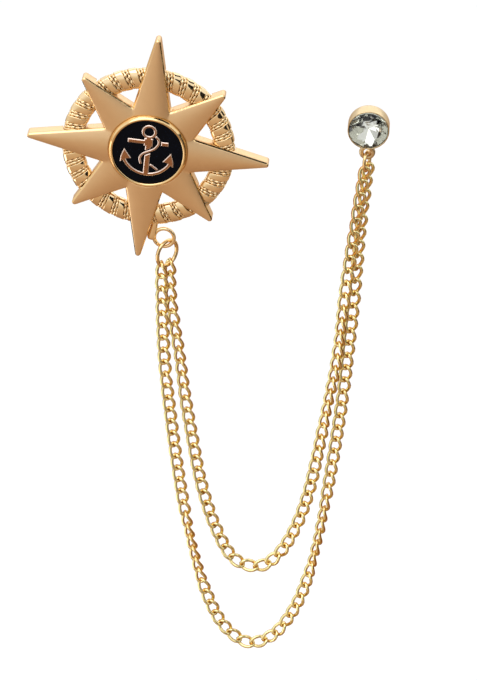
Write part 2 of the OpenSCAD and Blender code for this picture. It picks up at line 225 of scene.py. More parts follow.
GROUPS = {
    "pin_star": StarSizes,
    "pin_rings": RingSizes,
    "pin_chain": ChainSizes,
    "pin_stud": StudSizes,
    "pin_colours": FinishColours,
    "pin_camera": CameraPlace,
}


def sizes(group):
    """Values of a property group in the units that the shapes use: millimetres, radians and counts."""
    data = getattr(bpy.context.scene, group)
    read = {}
    for key, prop in data.bl_rna.properties.items():
        if key not in ("rna_type", "name"):
            value = getattr(data, key)
            read[key] = value / MM if prop.unit == "LENGTH" else value
    return SimpleNamespace(**read)


# Meshes

# Points that are closer than this become one, in millimetres, and a closed end on an axis starts as a
# circle of the smaller radius
MERGE = 0.002
AXIS_R = 0.001


def grid(points, wrap_rows=False, wrap_columns=False, material=0):
    """A surface over a grid of points, rows by columns: its points, its four-sided faces and their
    material. A wrapped direction joins its last line to its first."""
    rows, columns = points.shape[:2]
    index = np.arange(rows * columns).reshape(rows, columns)
    if wrap_rows:
        index = np.concatenate((index, index[:1]), axis=0)
    if wrap_columns:
        index = np.concatenate((index, index[:, :1]), axis=1)
    faces = np.stack((index[:-1, :-1], index[:-1, 1:], index[1:, 1:], index[1:, :-1]), axis=-1).reshape(-1, 4)
    return points.reshape(-1, 3), faces, np.full(len(faces), material)


def to_row(points):
    """Face frame to row frame: up becomes +Z and the front becomes -Y."""
    return np.stack((points[..., 0], -points[..., 2], points[..., 1]), axis=-1)


def to_face(points):
    """Row frame to face frame: +Z becomes up and -Y becomes the front."""
    return np.stack((points[..., 0], points[..., 2], -points[..., 1]), axis=-1)


def turned(points, right):
    """Points of the face frame turned to the right about the origin, by an angle in radians."""
    c, s = math.cos(right), math.sin(right)
    x, y = points[..., 0], points[..., 1]
    return np.stack((c * x + s * y, c * y - s * x, points[..., 2]), axis=-1)


def put(name, data):
    """A new object that holds the data, linked to the scene."""
    made = bpy.data.objects.new(name, data)
    bpy.context.scene.collection.objects.link(made)
    return made


@contextmanager
def edited(mesh):
    """The mesh as a bmesh, which is written back into it at the end."""
    edit = bmesh.new()
    edit.from_mesh(mesh)
    yield edit
    edit.to_mesh(mesh)
    edit.free()


def make_piece(name, surfaces, materials, nodes):
    """One smooth object of several surfaces given in the face frame. Lines that meet are merged, faces are
    turned outwards, and the piece rides on the root and stands for its CAD nodes."""
    starts = np.cumsum([0] + [len(points) for points, _, _ in surfaces[:-1]])
    points = np.concatenate([to_row(points) * MM for points, _, _ in surfaces])
    faces = np.concatenate([quads + start for start, (_, quads, _) in zip(starts, surfaces)])
    mesh = bpy.data.meshes.new(name)
    mesh.from_pydata(points.tolist(), [], faces.tolist())
    mesh.polygons.foreach_set("material_index", np.concatenate([index for _, _, index in surfaces]))
    with edited(mesh) as edit:
        bmesh.ops.remove_doubles(edit, verts=edit.verts, dist=MERGE * MM)
        bmesh.ops.dissolve_degenerate(edit, edges=edit.edges, dist=MERGE / 2 * MM)
        bmesh.ops.recalc_face_normals(edit, faces=edit.faces)
    mesh.polygons.foreach_set("use_smooth", np.full(len(mesh.polygons), True))
    for material in materials:
        mesh.materials.append(material)
    piece = put(name, mesh)
    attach(piece, "root")
    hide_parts(*nodes)


def lathe(profile, sides, centre):
    """A profile of radius and height carried round the front axis through centre, as a closed skin whose
    ends lie on the axis."""
    turn = np.arange(sides) / sides * TURN
    r, h = np.array(profile, float).T
    points = np.stack((centre[0] + r[:, None] * np.cos(turn), centre[1] + r[:, None] * np.sin(turn),
                       np.broadcast_to(h[:, None], (len(r), sides))), axis=-1)
    return grid(points, wrap_columns=True)


def unit(vectors):
    """Vectors of length one in the same directions."""
    return vectors / np.linalg.norm(vectors, axis=-1, keepdims=True)


def round_wave(wave, power):
    """A sine or cosine whose size is raised to a power: below 1 it squares an ellipse's sides off."""
    return np.sign(wave) * np.abs(wave) ** power


def closed_tube(line, ups, across, along, sides, material=0, power=1.0):
    """A tube round a closed line: at each point the section is an ellipse, squared off by the power, whose
    half axes are across, square to up, and along up."""
    headings = unit(np.roll(line, -1, axis=0) - np.roll(line, 1, axis=0))
    side = unit(np.cross(headings, ups))
    up = np.cross(side, headings)
    turn = np.arange(sides) / sides * TURN
    across = np.broadcast_to(across, len(line))[:, None, None]
    along = np.broadcast_to(along, len(line))[:, None, None]
    points = (line[:, None] + across * side[:, None] * round_wave(np.cos(turn), power)[:, None]
              + along * up[:, None] * round_wave(np.sin(turn), power)[:, None])
    return grid(points, wrap_rows=True, wrap_columns=True, material=material)


def wire_ring(centre, ring_r, wire, turn=0.0, steps=72, sides=16):
    """A ring of round wire whose middle line is an upright circle about centre, turned about the vertical."""
    around = np.arange(steps) / steps * TURN
    line = np.stack((ring_r * np.cos(around) * math.cos(turn), ring_r * np.sin(around),
                     -ring_r * np.cos(around) * math.sin(turn)), axis=-1)
    return closed_tube(line + centre, unit(line), wire / 2, wire / 2, sides)


# Finishes

def add(tree, kind, sockets=None, **settings):
    """Adds one node with its settings; a socket value that is another node's output is linked."""
    node = tree.nodes.new(kind)
    for key, value in settings.items():
        setattr(node, key, value)
    for key, value in (sockets or {}).items():
        if isinstance(value, bpy.types.NodeSocket):
            tree.links.new(value, node.inputs[key])
        else:
            node.inputs[key].default_value = value
    return node


def surface_finish(name, key, tint, gloss, relief=None, stretch=(1, 1, 1), **constants):
    """A material made of one of the colours, varied by noise. tint, gloss and relief each start with the size
    of the noise's blotches in millimetres and its detail. tint goes on with the shares of the colour's light
    where the noise is lowest and highest, gloss with the roughness there, and relief with the strength and
    the depth in millimetres of the bumps. stretch scales the place that the noise reads, and constants are
    the shader's plain sockets."""
    material = bpy.data.materials.get(name)
    if material is not None:
        return material
    material = bpy.data.materials.new(name)
    material.use_nodes = True
    tree = material.node_tree
    shader = tree.nodes["Principled BSDF"]
    for socket, value in constants.items():
        shader.inputs[socket.replace("_", " ")].default_value = value
    place = add(tree, "ShaderNodeTexCoord").outputs["Object"]
    if stretch != (1, 1, 1):
        place = add(tree, "ShaderNodeMapping", {"Vector": place, "Scale": stretch}).outputs["Vector"]
    noise = {}
    for size, detail, *_ in filter(None, (tint, gloss, relief)):
        if (size, detail) not in noise:
            sockets = {"Vector": place, "Scale": 1 / (size * MM), "Detail": detail}
            noise[size, detail] = add(tree, "ShaderNodeTexNoise", sockets).outputs["Fac"]
    base = tuple(getattr(bpy.context.scene.pin_colours, key))
    dark, light = [(base[0] * share, base[1] * share, base[2] * share, 1.0) for share in tint[2:]]
    mixed = add(tree, "ShaderNodeMix", {"Factor": noise[tint[:2]], "A": dark, "B": light}, data_type="RGBA")
    tree.links.new(mixed.outputs[2], shader.inputs["Base Color"])
    sockets = {"Value": noise[gloss[:2]], "To Min": gloss[2], "To Max": gloss[3]}
    tree.links.new(add(tree, "ShaderNodeMapRange", sockets).outputs["Result"], shader.inputs["Roughness"])
    if relief:
        sockets = {"Height": noise[relief[:2]], "Strength": relief[2], "Distance": relief[3] * MM}
        tree.links.new(add(tree, "ShaderNodeBump", sockets).outputs["Normal"], shader.inputs["Normal"])
    return material


def satin_gold():
    """Zinc casting, sandblasted fine and plated champagne gold: soft wide highlights, no mirror image."""
    # Blotches of 1.5 mm where the plating is a little thicker, and grit of 0.12 mm that a real blast
    # leaves at about 0.03 mm, drawn coarser so that it shows
    return surface_finish("satin_gold_plate", "satin", tint=(1.5, 2, 0.94, 1), gloss=(1.5, 2, 0.34, 0.42),
                          relief=(0.12, 3, 0.12, 0.02), Metallic=1)


def polished_gold(name="polished_gold_plate", key="polished", gloss=0.1, waviness=0.15, wave=0.8):
    """Brass or zinc, buffed and plated gold: a mirror image, a little wavy from the buffing wheel."""
    # Buffing leaves waves of about 0.8 mm, finer on small wires, and a haze of wheel marks
    return surface_finish(name, key, tint=(wave, 2, 0.93, 1), gloss=(0.3, 3, gloss * 0.7, gloss * 1.5),
                          relief=(wave, 2, waviness, 0.1), Metallic=1)


def rope_gold():
    """Wound flat wire cast in zinc, plated and buffed: bright, with soft waves."""
    return polished_gold("wound_gold_wire", "rope", gloss=0.06, waviness=0.3)


def bead_gold():
    """Beaded wire cast in zinc, plated and only lightly buffed: an uneven sparkle."""
    return polished_gold("beaded_gold_wire", "rope", gloss=0.08, waviness=0.8, wave=0.4)


def rope_core_painted_shade():
    """Plated zinc deep between wound wires: painted shade, a dull dark brown for the shadow between the
    wires.
    """
    return polished_gold("unpolished_recess_gold", "recess", gloss=0.35)


def chain_gold():
    """Fine brass chain, tumbled bright and plated gold: small sharp highlights on each link."""
    return polished_gold("bright_gold_chain", "chain", gloss=0.06)


def painted_shade_chain_gold():
    """Sides of the links' wire, painted darker and duller: painted shade that outlines each link."""
    return polished_gold("dull_gold_chain_side", "chain_side", gloss=0.25)


def stud_gold():
    """Stud's brass cup, drawn, lightly buffed and plated pale gold: a soft, blurred mirror image."""
    return polished_gold("stud_gold_plate", "stud", gloss=0.22)


def cast_gold():
    """Raised zinc relief, left as cast in its low places: warm brown gold with a soft gleam."""
    # The skin of a die casting has pits of about 0.25 mm
    return surface_finish("cast_gold_relief", "anchor", tint=(0.25, 3, 0.6, 1), gloss=(0.25, 3, 0.2, 0.34),
                          relief=(0.25, 3, 0.25, 0.03), Metallic=1)


def painted_highlight_gold():
    """Edges of that relief, painted pale: a painted highlight, a bright line round the brown."""
    return polished_gold("rubbed_gold_edge", "anchor_edge", gloss=0.35)


def black_enamel():
    """Cold enamel, poured and cured: deep black under a glassy skin with faint waves."""
    # The skin settles in waves of about 2.5 mm
    return surface_finish("black_cold_enamel", "enamel", tint=(2.5, 1, 1, 2), gloss=(2.5, 1, 0.05, 0.1),
                          relief=(2.5, 1, 0.2, 0.1), IOR=1.5, Specular_IOR_Level=0.07)


def cut_crystal():
    """Machine-cut leaded crystal: clear, bright and sharply faceted."""
    # Facets keep a trace of the lap's polish, in patches of about 1 mm
    return surface_finish("cut_crystal", "crystal", tint=(1, 2, 0.97, 1), gloss=(1, 2, 0, 0.03), IOR=1.45,
                          Transmission_Weight=1)


def silver_foil():
    """Silver foil and lacquer on the stone's back: it throws the light back out through the facets."""
    # The foil is creased in patches of about 0.7 mm
    return surface_finish("silver_foil", "foil", tint=(0.7, 2, 0.9, 1), gloss=(0.7, 2, 0.03, 0.12),
                          Metallic=1)


def drawn_steel():
    """Drawn steel wire: grey, with fine marks along its length."""
    # Die marks run along the wire, 0.1 mm apart and some 4 mm long; the wire lies along Y
    return surface_finish("drawn_steel", "steel", tint=(0.1, 2, 0.85, 1), gloss=(0.1, 2, 0.18, 0.34),
                          stretch=(1, 0.03, 1), Metallic=1)


# Star

# Rays, lines over a ray's chamfer, and steps from there to its crest
RAYS = 8
CHAMFER_LINES = 6
DOME_STEPS = 11


class Ray:
    """One ray of the star, about its own axis: right is to the right of the axis and out along it. Its sides
    would meet at the apex, at the angle half to the axis, and its tip is a circle about centre. It ends at
    reach, and its sides are straight as far as the circle of radius straight_to."""
    LEAST = 0.01

    def __init__(self, star, apex):
        self.star = star
        self.apex = apex
        half_pitch = math.pi / RAYS
        notch = star.notch_r
        self.half = math.atan(notch * math.sin(half_pitch) / (apex - notch * math.cos(half_pitch)))
        self.notch = (notch * math.sin(half_pitch), notch * math.cos(half_pitch))
        self.centre = apex - star.tip_r / math.sin(self.half)
        self.reach = self.centre + star.tip_r
        self.straight_to = math.hypot(star.tip_r * math.cos(self.half),
                                      self.centre + star.tip_r * math.sin(self.half))

    def angle_at(self, r, inset):
        """Angle off the axis at which the circle of radius r meets the outline moved in by inset: a
        straight side as far as the tangent point, and the tip's circle beyond it."""
        straight = np.arcsin(np.clip((self.apex * math.sin(self.half) - inset) / r, -1, 1)) - self.half
        tip_r = np.maximum(self.star.tip_r - inset, 0)
        cosine = (r ** 2 + self.centre ** 2 - tip_r ** 2) / (2 * r * self.centre)
        tip = np.arccos(np.clip(cosine, -1, 1))
        return np.maximum(np.where(r < self.straight_to, straight, tip), 0)

    def inset_of(self, right, out):
        """Distance of a point from the ray's outline: from the notch, the straight side or the tip."""
        right = np.abs(right)
        along = ((right - self.notch[0]) * -math.sin(self.half) + (out - self.notch[1]) * math.cos(self.half))
        side = self.apex * math.sin(self.half) - (right * math.cos(self.half) + out * math.sin(self.half))
        corner = np.hypot(right - self.notch[0], out - self.notch[1])
        past_tangent = right * -math.sin(self.half) + (out - self.centre) * math.cos(self.half) > 0
        tip = self.star.tip_r - np.hypot(right, out - self.centre)
        return np.clip(np.where(along < 0, corner, np.where(past_tangent, tip, side)), 0, None)

    def rise(self, right, out):
        """Height of the dome over the edge plane: a crest that climbs to the centre, arched to each side
        like a parabola that is zero at the ray's sides. It is worked out no closer to the apex than LEAST."""
        left_over = np.maximum(self.apex - out, self.LEAST)
        across = right / (left_over * math.tan(self.half))
        return left_over * math.tan(self.star.slope) * (1 - across ** 2)


def rounded_drop(inset, radius):
    """How far a rounded edge has dropped at a distance from the outline: a quarter circle."""
    short = np.clip(radius - inset, 0, radius)
    return radius - np.sqrt(np.maximum(radius ** 2 - short ** 2, 0))


def star_top(star, ray, neighbour, right, out):
    """Top of a ray: as far as the notches the higher of its own dome and its neighbour's, joined in a soft
    valley, and beyond them its own, less the chamfer of the edge, which drops as far as it is wide."""
    pitch = TURN / RAYS
    valley, fade = 0.12, 0.6
    side = np.abs(right)
    own = ray.rise(right, out)
    other = neighbour.rise(side * math.cos(pitch) - out * math.sin(pitch),
                           side * math.sin(pitch) + out * math.cos(pitch))
    joined = (own + other) / 2 + np.sqrt((own - other) ** 2 + valley ** 2) / 2
    beyond = np.clip((np.hypot(right, out) - star.notch_r) / fade, 0, 1)
    edge = np.clip(star.chamfer - ray.inset_of(right, out), 0, None)
    return star.edge_h + joined * (1 - beyond) + own * beyond - edge


def ray_rows(star, ray, rope_in, rope_out):
    """Radii of the rows beyond the notch: even steps, with close pairs at the walls of the rope's channel
    and closer steps at the tip."""
    wall, step = 0.01, 0.35
    tip = ray.reach - (ray.reach - ray.straight_to) * (1 - np.sin(np.linspace(0, 1, 7) * math.pi / 2))
    return np.concatenate((
        np.linspace(star.notch_r, rope_in, 12),
        np.linspace(rope_in + wall, rope_out - wall, 19),
        np.linspace(rope_out, ray.straight_to, 2 + int((ray.straight_to - rope_out) / step))[:-1], tip))


def ray_surfaces(star, ray, neighbour, place, channel):
    """Top, back and side walls of the ray at one place of the star, as grids of circles by directions."""
    rope_in, rope_out, rope_roof = channel
    outer = ray_rows(star, ray, rope_in, rope_out)
    seat_r = MEDAL_R + GAP
    seat_h = CUP_LOW[2] - GAP
    insets = star.chamfer * (1 - np.cos(np.linspace(0, 1, CHAMFER_LINES) * math.pi)) / 2
    inner = np.linspace(seat_r, star.notch_r, 9)[:-1]

    def directions(r):
        """Angles off the axis for one row: the chamfer's lines, then even steps to the axis."""
        edge = ray.angle_at(np.maximum(r, star.notch_r)[:, None], insets[None, :])
        steps = np.linspace(1, 0, DOME_STEPS + 1)[1:]
        half = np.concatenate((edge, edge[:, -1:] * steps), axis=1)
        return np.concatenate((-half, half[:, -2::-1]), axis=1)

    def flat_points(r):
        """The rows' points in the ray's own plane: how far right of its axis and how far out."""
        theta = directions(r)
        return r[:, None] * np.sin(theta), r[:, None] * np.cos(theta)

    def placed(right, out, h):
        """Those points at their height, turned to the ray's place in the star."""
        return turned(np.stack((right, out, h), axis=-1), place + star.turn)

    # The medallion's seat, off centre like the medallion as far as the notches, and then the domes
    seat = np.array((AXIS_R, seat_r))
    top_r = np.concatenate((seat, inner, outer))
    shift = turned(np.array((MEDAL[0], MEDAL[1], 0.0)), -place - star.turn)
    share = np.clip((star.notch_r - top_r) / (star.notch_r - seat_r), 0, 1)[:, None]
    right, out = flat_points(top_r)
    right, out = right + share * shift[0], out + share * shift[1]
    height = star_top(star, ray, neighbour, right, out)
    height[:len(seat)] = seat_h
    top_points = placed(right, out, height)
    top = grid(top_points)
    polished = top[2].reshape(len(top_r) - 1, -1)
    rays_from = len(seat) + len(inner) - 1
    polished[rays_from:, :CHAMFER_LINES - 1] = 1
    polished[rays_from:, 1 - CHAMFER_LINES:] = 1

    # The back: the post's recess, the flat back and the rope's channel, with an edge half as wide
    flat_to = 5.0
    back_fixed_r = np.array((AXIS_R, RECESS_R, RECESS_R, flat_to))
    back_fixed_h = np.array((RECESS_H, RECESS_H, star.back_h, star.back_h))
    back_r = np.concatenate((back_fixed_r, outer))
    right, out = flat_points(back_r)
    floor = np.concatenate((back_fixed_h, rope_roof(outer)))
    edge = rounded_drop(ray.inset_of(right, out), star.chamfer / 2)
    edge[:len(back_fixed_r)] = 0
    back_points = placed(right, out, floor[:, None] + edge)
    back = grid(back_points)

    # The side walls join the outline of the top to that of the back
    shares = np.linspace(0, 1, 4)[None, :, None]
    walls = [grid(top_points[-len(outer):, column, None] * (1 - shares)
                  + back_points[-len(outer):, column, None] * shares) for column in (0, -1)]
    return [top, back, *walls]


def build_star():
    """The star: eight domed rays, long and short in turn, the medallion's seat in their middle, and behind
    them the channel that the rope ring lies in."""
    star = sizes("pin_star")
    rings = sizes("pin_rings")
    rope_r = ROPE_HIGH[0] - rings.rope_w / 2
    rope_mid = (ROPE_LOW[2] + ROPE_HIGH[2]) / 2
    end_r = rings.rope_t / 2
    flat = rings.rope_w / 2 - end_r

    def rope_roof(r):
        """Back of the rays over the rope: the slot with round ends that the rope fills, and no channel
        outside it."""
        past_flat = np.clip(np.abs(r - rope_r) - flat, 0, None)
        arch = np.sqrt(np.clip((end_r + GAP) ** 2 - past_flat ** 2, 0, None))
        return np.where(past_flat < end_r + GAP * 0.9, rope_mid + arch, star.back_h)

    channel = (rope_r - rings.rope_w / 2 - GAP, rope_r + rings.rope_w / 2 + GAP, rope_roof)
    kinds = (Ray(star, star.long_apex), Ray(star, star.short_apex))
    surfaces = []
    for place in range(RAYS):
        own, other = kinds[place % 2], kinds[1 - place % 2]
        surfaces += ray_surfaces(star, own, other, place * TURN / RAYS, channel)
    make_piece("compass_star", surfaces, (satin_gold(), polished_gold()), ["star"])


# Rope ring

# The rope's section is an oval squared off by a power. The flat wire and the beads have their half widths
# as shares of the winding's pitch and their half thicknesses in millimetres. The beads lie in two rows, at
# these shares of the pitch from the flat wire, and the core lies this deep under them
ROPE_POWER = 0.85
FLAT_WIRE_W, FLAT_WIRE_T, FLAT_WIRE_POWER = 0.26, 0.3, 0.3
BEAD_W, BEAD_T = 0.125, 0.28
BEAD_ROWS = (0.385, 0.615)
CORE_DEPTH, CORE_POWER = 0.42, 0.72


def build_rope_ring():
    """The rope ring: a smooth flat wire and two rows of beads wound side by side round a core, with the eye
    and its lug underneath. The core has the second finish, painted shade for the gaps between the wires,
    the beads the third and the rest the first."""
    rings = sizes("pin_rings")
    rope_r = ROPE_HIGH[0] - rings.rope_w / 2
    mid = (ROPE_LOW[2] + ROPE_HIGH[2]) / 2
    half_w, half_t = rings.rope_w / 2, rings.rope_t / 2
    count = rings.windings

    def wound(t, depth, lead):
        """Points on the rope at t turns of the winding, set in from its surface by depth, with the surface's
        direction and the share by which the pitch widens there: the ring angle follows the turns, and lead
        shifts it by a share of the pitch."""
        section = t * TURN
        ring = -(t + lead) / count * TURN
        across = round_wave(np.cos(section), ROPE_POWER)
        front = round_wave(np.sin(section), ROPE_POWER)
        r = rope_r + (half_w - depth) * across
        outward = np.stack((np.cos(ring), np.sin(ring), np.zeros_like(ring)), axis=-1)
        line = outward * r[:, None]
        line[:, 2] = mid + (half_t - depth) * front
        steep = 2 / ROPE_POWER - 1
        normal = outward * (round_wave(across, steep) / half_w)[:, None]
        normal[:, 2] = round_wave(front, steep) / half_t
        return line, unit(normal), r / rope_r

    pitch = TURN * rope_r / count
    steps = 40
    t = (np.arange(count * steps) + 0.5) / steps
    line, normal, widen = wound(t, FLAT_WIRE_T, 0)
    half_wire = FLAT_WIRE_W * pitch * widen
    surfaces = [closed_tube(line, normal, half_wire, FLAT_WIRE_T, 24, power=FLAT_WIRE_POWER)]

    # A bead swells from a thin neck like a half sine raised to a power, and the second row is half a bead on
    per_bead, neck, fullness = 5, 0.35, 0.8
    steps = rings.bead_count * per_bead
    t = (np.arange(count * steps) + 0.5) / steps
    for row, lead in enumerate(BEAD_ROWS):
        line, normal, widen = wound(t, BEAD_T, lead)
        wave = np.abs(np.sin((t * rings.bead_count + row / 2) * math.pi))
        swell = neck + (1 - neck) * wave ** fullness
        surfaces.append(closed_tube(line, normal, BEAD_W * pitch * widen * swell, BEAD_T * swell, 8, 2))

    around = np.arange(120) / 120 * TURN
    circle = np.stack((np.cos(around), np.sin(around), np.zeros_like(around)), axis=-1)
    # The core, dark with the painted shade between the wires
    surfaces.append(closed_tube(circle * rope_r + (0, 0, mid), circle, half_t - CORE_DEPTH,
                                half_w - CORE_DEPTH, 24, 1, CORE_POWER))
    surfaces += hanging_eye(rings, mid)
    make_piece("rope_ring_with_eye", surfaces, (rope_gold(), rope_core_painted_shade(), bead_gold()),
               ["rope_ring"])


def hanging_eye(rings, mid):
    """The eye of round wire under the rope ring, and the lug that ties its left side to the ring: a slab
    with round ends, whose half width goes from one end's radius to the other's, puffed like a cushion."""
    centre = np.array((rings.eye_x, rings.eye_z, mid))
    eye = wire_ring(centre, rings.eye_r, rings.eye_wire)
    low = np.array((rings.lug_low_x, rings.lug_low_z))
    high = np.array((rings.lug_high_x, rings.lug_high_z))
    reach = np.linalg.norm(high - low)
    sweep = (1 - np.cos(np.linspace(0, 1, 26) * math.pi)) / 2
    s = -rings.lug_low_r + (reach + rings.lug_low_r + rings.lug_high_r) * sweep
    radius = rings.lug_low_r + (rings.lug_high_r - rings.lug_low_r) * np.clip(s / reach, 0, 1)
    past_end = np.clip(np.maximum(-s, s - reach) / radius, 0, 1)
    half_wide = radius * np.sqrt(1 - past_end ** 2)
    half_thick = rings.lug_t / 2 * (1 - past_end ** 3)
    along = (high - low) / reach
    turn = np.arange(20) / 20 * TURN
    power = 0.8
    offset = half_wide[:, None] * round_wave(np.cos(turn), power)
    x = low[0] + along[0] * s[:, None] + along[1] * offset
    y = low[1] + along[1] * s[:, None] - along[0] * offset
    h = mid + half_thick[:, None] * round_wave(np.sin(turn), power)
    return [eye, grid(np.stack((x, y, h), axis=-1), wrap_columns=True)]


# Medallion

def build_medallion_cup():
    """The medallion's cup: a bevel, bulged by a half sine, up to the rim, a long quarter oval from there
    down to the enamel, the floor under the enamel and a back."""
    r, front, back = MEDAL_R, CUP_HIGH[2], CUP_LOW[2]
    inside = (ENAMEL_HIGH[0] - ENAMEL_LOW[0]) / 2 + GAP
    floor = ENAMEL_LOW[2] - GAP
    wide, tall, bulge, fall, corner = 0.4, 0.55, 0.04, 0.25, 0.1
    share = np.linspace(0, 1, 9)
    swell = bulge * np.sin(share * math.pi) / math.hypot(wide, tall)
    bevel = np.stack((r - wide * share + tall * swell, front - tall + tall * share + wide * swell), -1)
    sweep = np.linspace(0, math.pi / 2, 8)[1:]
    rim = r - wide
    inner = np.stack((rim - (rim - inside) * np.sin(sweep), front - fall * (1 - np.cos(sweep))), -1)
    profile = [(AXIS_R, back), (r - corner, back), (r, back + corner), *bevel, *inner, (inside, floor),
               (AXIS_R, floor)]
    make_piece("medallion_cup_rim", [lathe(profile, 128, MEDAL[:2])], (polished_gold(),),
               ["medallion_cup"])


def build_enamel():
    """The enamel: a flat disc whose face creeps up where it wets the rim, by the square of the way out."""
    r, front, back = (ENAMEL_HIGH[0] - ENAMEL_LOW[0]) / 2, ENAMEL_HIGH[2], ENAMEL_LOW[2]
    radii = r * (1 - (1 - np.linspace(0, 1, 22)) ** 2)
    creep, wet_from = 0.05, 0.9 * r
    face = front - creep + creep * np.clip((radii - wet_from) / (r - wet_from), 0, 1) ** 2
    profile = [(AXIS_R, back), (r, back)] + [(max(a, AXIS_R), b) for a, b in zip(radii[::-1], face[::-1])]
    make_piece("black_enamel_disc", [lathe(profile, 96, MEDAL[:2])], (black_enamel(),),
               ["enamel"])


def build_anchor():
    """The anchor: the CAD relief with its loose triangles merged and its front edges bevelled: the front
    faces are inset, and the outline drops back. The bevel gets a pale finish, a painted highlight."""
    bevel_w, bevel_drop, flatness = 0.13 * MM, 0.1 * MM, 0.01 * MM
    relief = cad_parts["anchor"].data.copy()
    relief.materials.clear()
    relief.materials.append(cast_gold())
    relief.materials.append(painted_highlight_gold())
    with edited(relief) as edit:
        bmesh.ops.remove_doubles(edit, verts=edit.verts, dist=MERGE * MM)
        bmesh.ops.dissolve_limit(edit, angle_limit=math.radians(1), verts=edit.verts, edges=edit.edges)
        front = min(vert.co.y for vert in edit.verts) + flatness
        tops = [face for face in edit.faces if max(vert.co.y for vert in face.verts) < front]
        for face in edit.faces:
            face.material_index = 0
        rims = bmesh.ops.inset_region(edit, faces=tops, thickness=bevel_w, use_even_offset=True)["faces"]
        inner = {vert for face in tops for vert in face.verts}
        # The bevel gets the pale finish of the painted highlight
        for face in rims:
            face.material_index = 1
        for vert in {vert for face in rims for vert in face.verts} - inner:
            vert.co.y += bevel_drop
    relief.polygons.foreach_set("use_smooth", np.full(len(relief.polygons), False))
    piece = put("anchor_relief", relief)
    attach(piece, "root")
    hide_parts("anchor")


# Jump rings

def ring_place(low, high, wire):
    """Centre and middle radius of a jump ring, from its node's box."""
    return (low + high) / 2, (high[1] - low[1] - wire) / 2


def build_jump_rings():
    """The two jump rings, each a ring of round wire with its ends closed."""
    rings = sizes("pin_rings")
    for name, node, low, high, wire, turn in (
            ("star_jump_ring_wire", "star_jump_ring", STAR_RING_LOW, STAR_RING_HIGH, rings.star_ring_wire,
             rings.star_ring_turn),
            ("stud_jump_ring_wire", "stud_jump_ring", STUD_RING_LOW, STUD_RING_HIGH, rings.stud_ring_wire,
             rings.stud_ring_turn)):
        centre, ring_r = ring_place(low, high, wire)
        make_piece(name, [wire_ring(centre, ring_r, wire, turn)], (polished_gold(),), [node])


# Chain

# Routes of the strands from the star to the stud, in millimetres of the row frame: the CAD model's, but for
# the outer one's lowest point, which is 0.25 higher so that the links stay inside the CAD model's box
OUTER_ROUTE = (
    (1.9, -2.2, -23.8), (2.05, -2, -34), (2.35, -1.8, -44), (3.15, -1.5, -54), (4.15, -1.35, -64),
    (5.4, -1.3, -74), (7.1, -1.3, -84), (9.5, -1.3, -93.9), (12.8, -1.3, -101.4), (17.5, -1.3, -105.12),
    (22.3, -1.3, -102.9), (26, -1.3, -97), (28.5, -1.3, -89.7), (30.3, -1.3, -81), (31.8, -1.2, -71),
    (33.2, -1.1, -60), (34.4, -1, -49), (35.3, -0.85, -38), (36.1, -0.75, -27), (36.75, -0.65, -15.5),
    (37, -0.55, -3.5))
INNER_ROUTE = (
    (2.95, -0.25, -23.8), (3.4, -0.45, -27.8), (3.75, -0.6, -33), (4.95, -0.9, -42),
    (5.95, -1.2, -51), (7.25, -1.4, -60), (8.7, -1.4, -69.1), (11.15, -1.4, -78.3),
    (14.6, -1.4, -85.5), (19.3, -1.4, -87.15), (23, -1.4, -84.3), (26, -1.4, -78.5),
    (28.3, -1.4, -71), (30, -1.5, -62), (31.6, -1.8, -51.5), (33.2, -2.25, -41),
    (34.1, -2.4, -31), (35.1, -2.55, -21), (36.15, -2.75, -11.5), (37.4, -2.8, -3.5))

# Turn of the links about the strand, in degrees, at shares of its length: 0 turns their flat side to
# LINK_FRONT, a direction of the row frame, and each link is off by UNEVEN degrees or so
LINK_FRONT = (0.0, -0.86, 0.5)
UNEVEN = 5
OUTER_TURNS = ((0, 25), (0.05, 15), (0.1, 5), (0.26, 5), (0.3, 55), (0.33, 45), (0.38, 0), (0.53, 0),
               (0.575, -55), (0.63, -55), (0.67, -10), (0.84, 0), (0.9, 35), (1, 40))
INNER_TURNS = ((0, 38), (0.1, 35), (0.16, 20), (0.22, 5), (0.3, 0), (0.6, 0), (0.67, -38), (0.8, -42),
               (0.86, 0), (0.9, 30), (1, 45))


def smooth_route(route, steps=24):
    """Points on the smooth curve through a route's points, each stretch a cubic through its neighbours."""
    p = np.array(route, float)
    a = np.concatenate((p[:1], p[:-2]))[:, None]
    b, c = p[:-1, None], p[1:, None]
    d = np.concatenate((p[2:], p[-1:]))[:, None]
    t = (np.arange(steps) / steps)[None, :, None]
    curve = (b + (c - a) * t / 2 + (2 * a - 5 * b + 4 * c - d) * t ** 2 / 2
             + (3 * b - a - 3 * c + d) * t ** 3 / 2)
    return np.concatenate((curve.reshape(-1, 3), p[-1:]))


def hooked(route, centre, ring_r, turn, end):
    """Route whose end lies on the jump ring's wire, at the point where the strand hangs from it: as far
    along the ring as the route's own end, but not up its sides."""
    x, y, _ = route[end]
    most = ring_r * 0.8
    shift = float(np.clip((x - centre[0]) * math.cos(turn) + (y + centre[2]) * math.sin(turn), -most, most))
    hook = (centre[0] + shift * math.cos(turn), -centre[2] + shift * math.sin(turn),
            centre[1] - math.sqrt(ring_r ** 2 - shift ** 2))
    return (hook, *route[1:]) if end == 0 else (*route[:-1], hook)


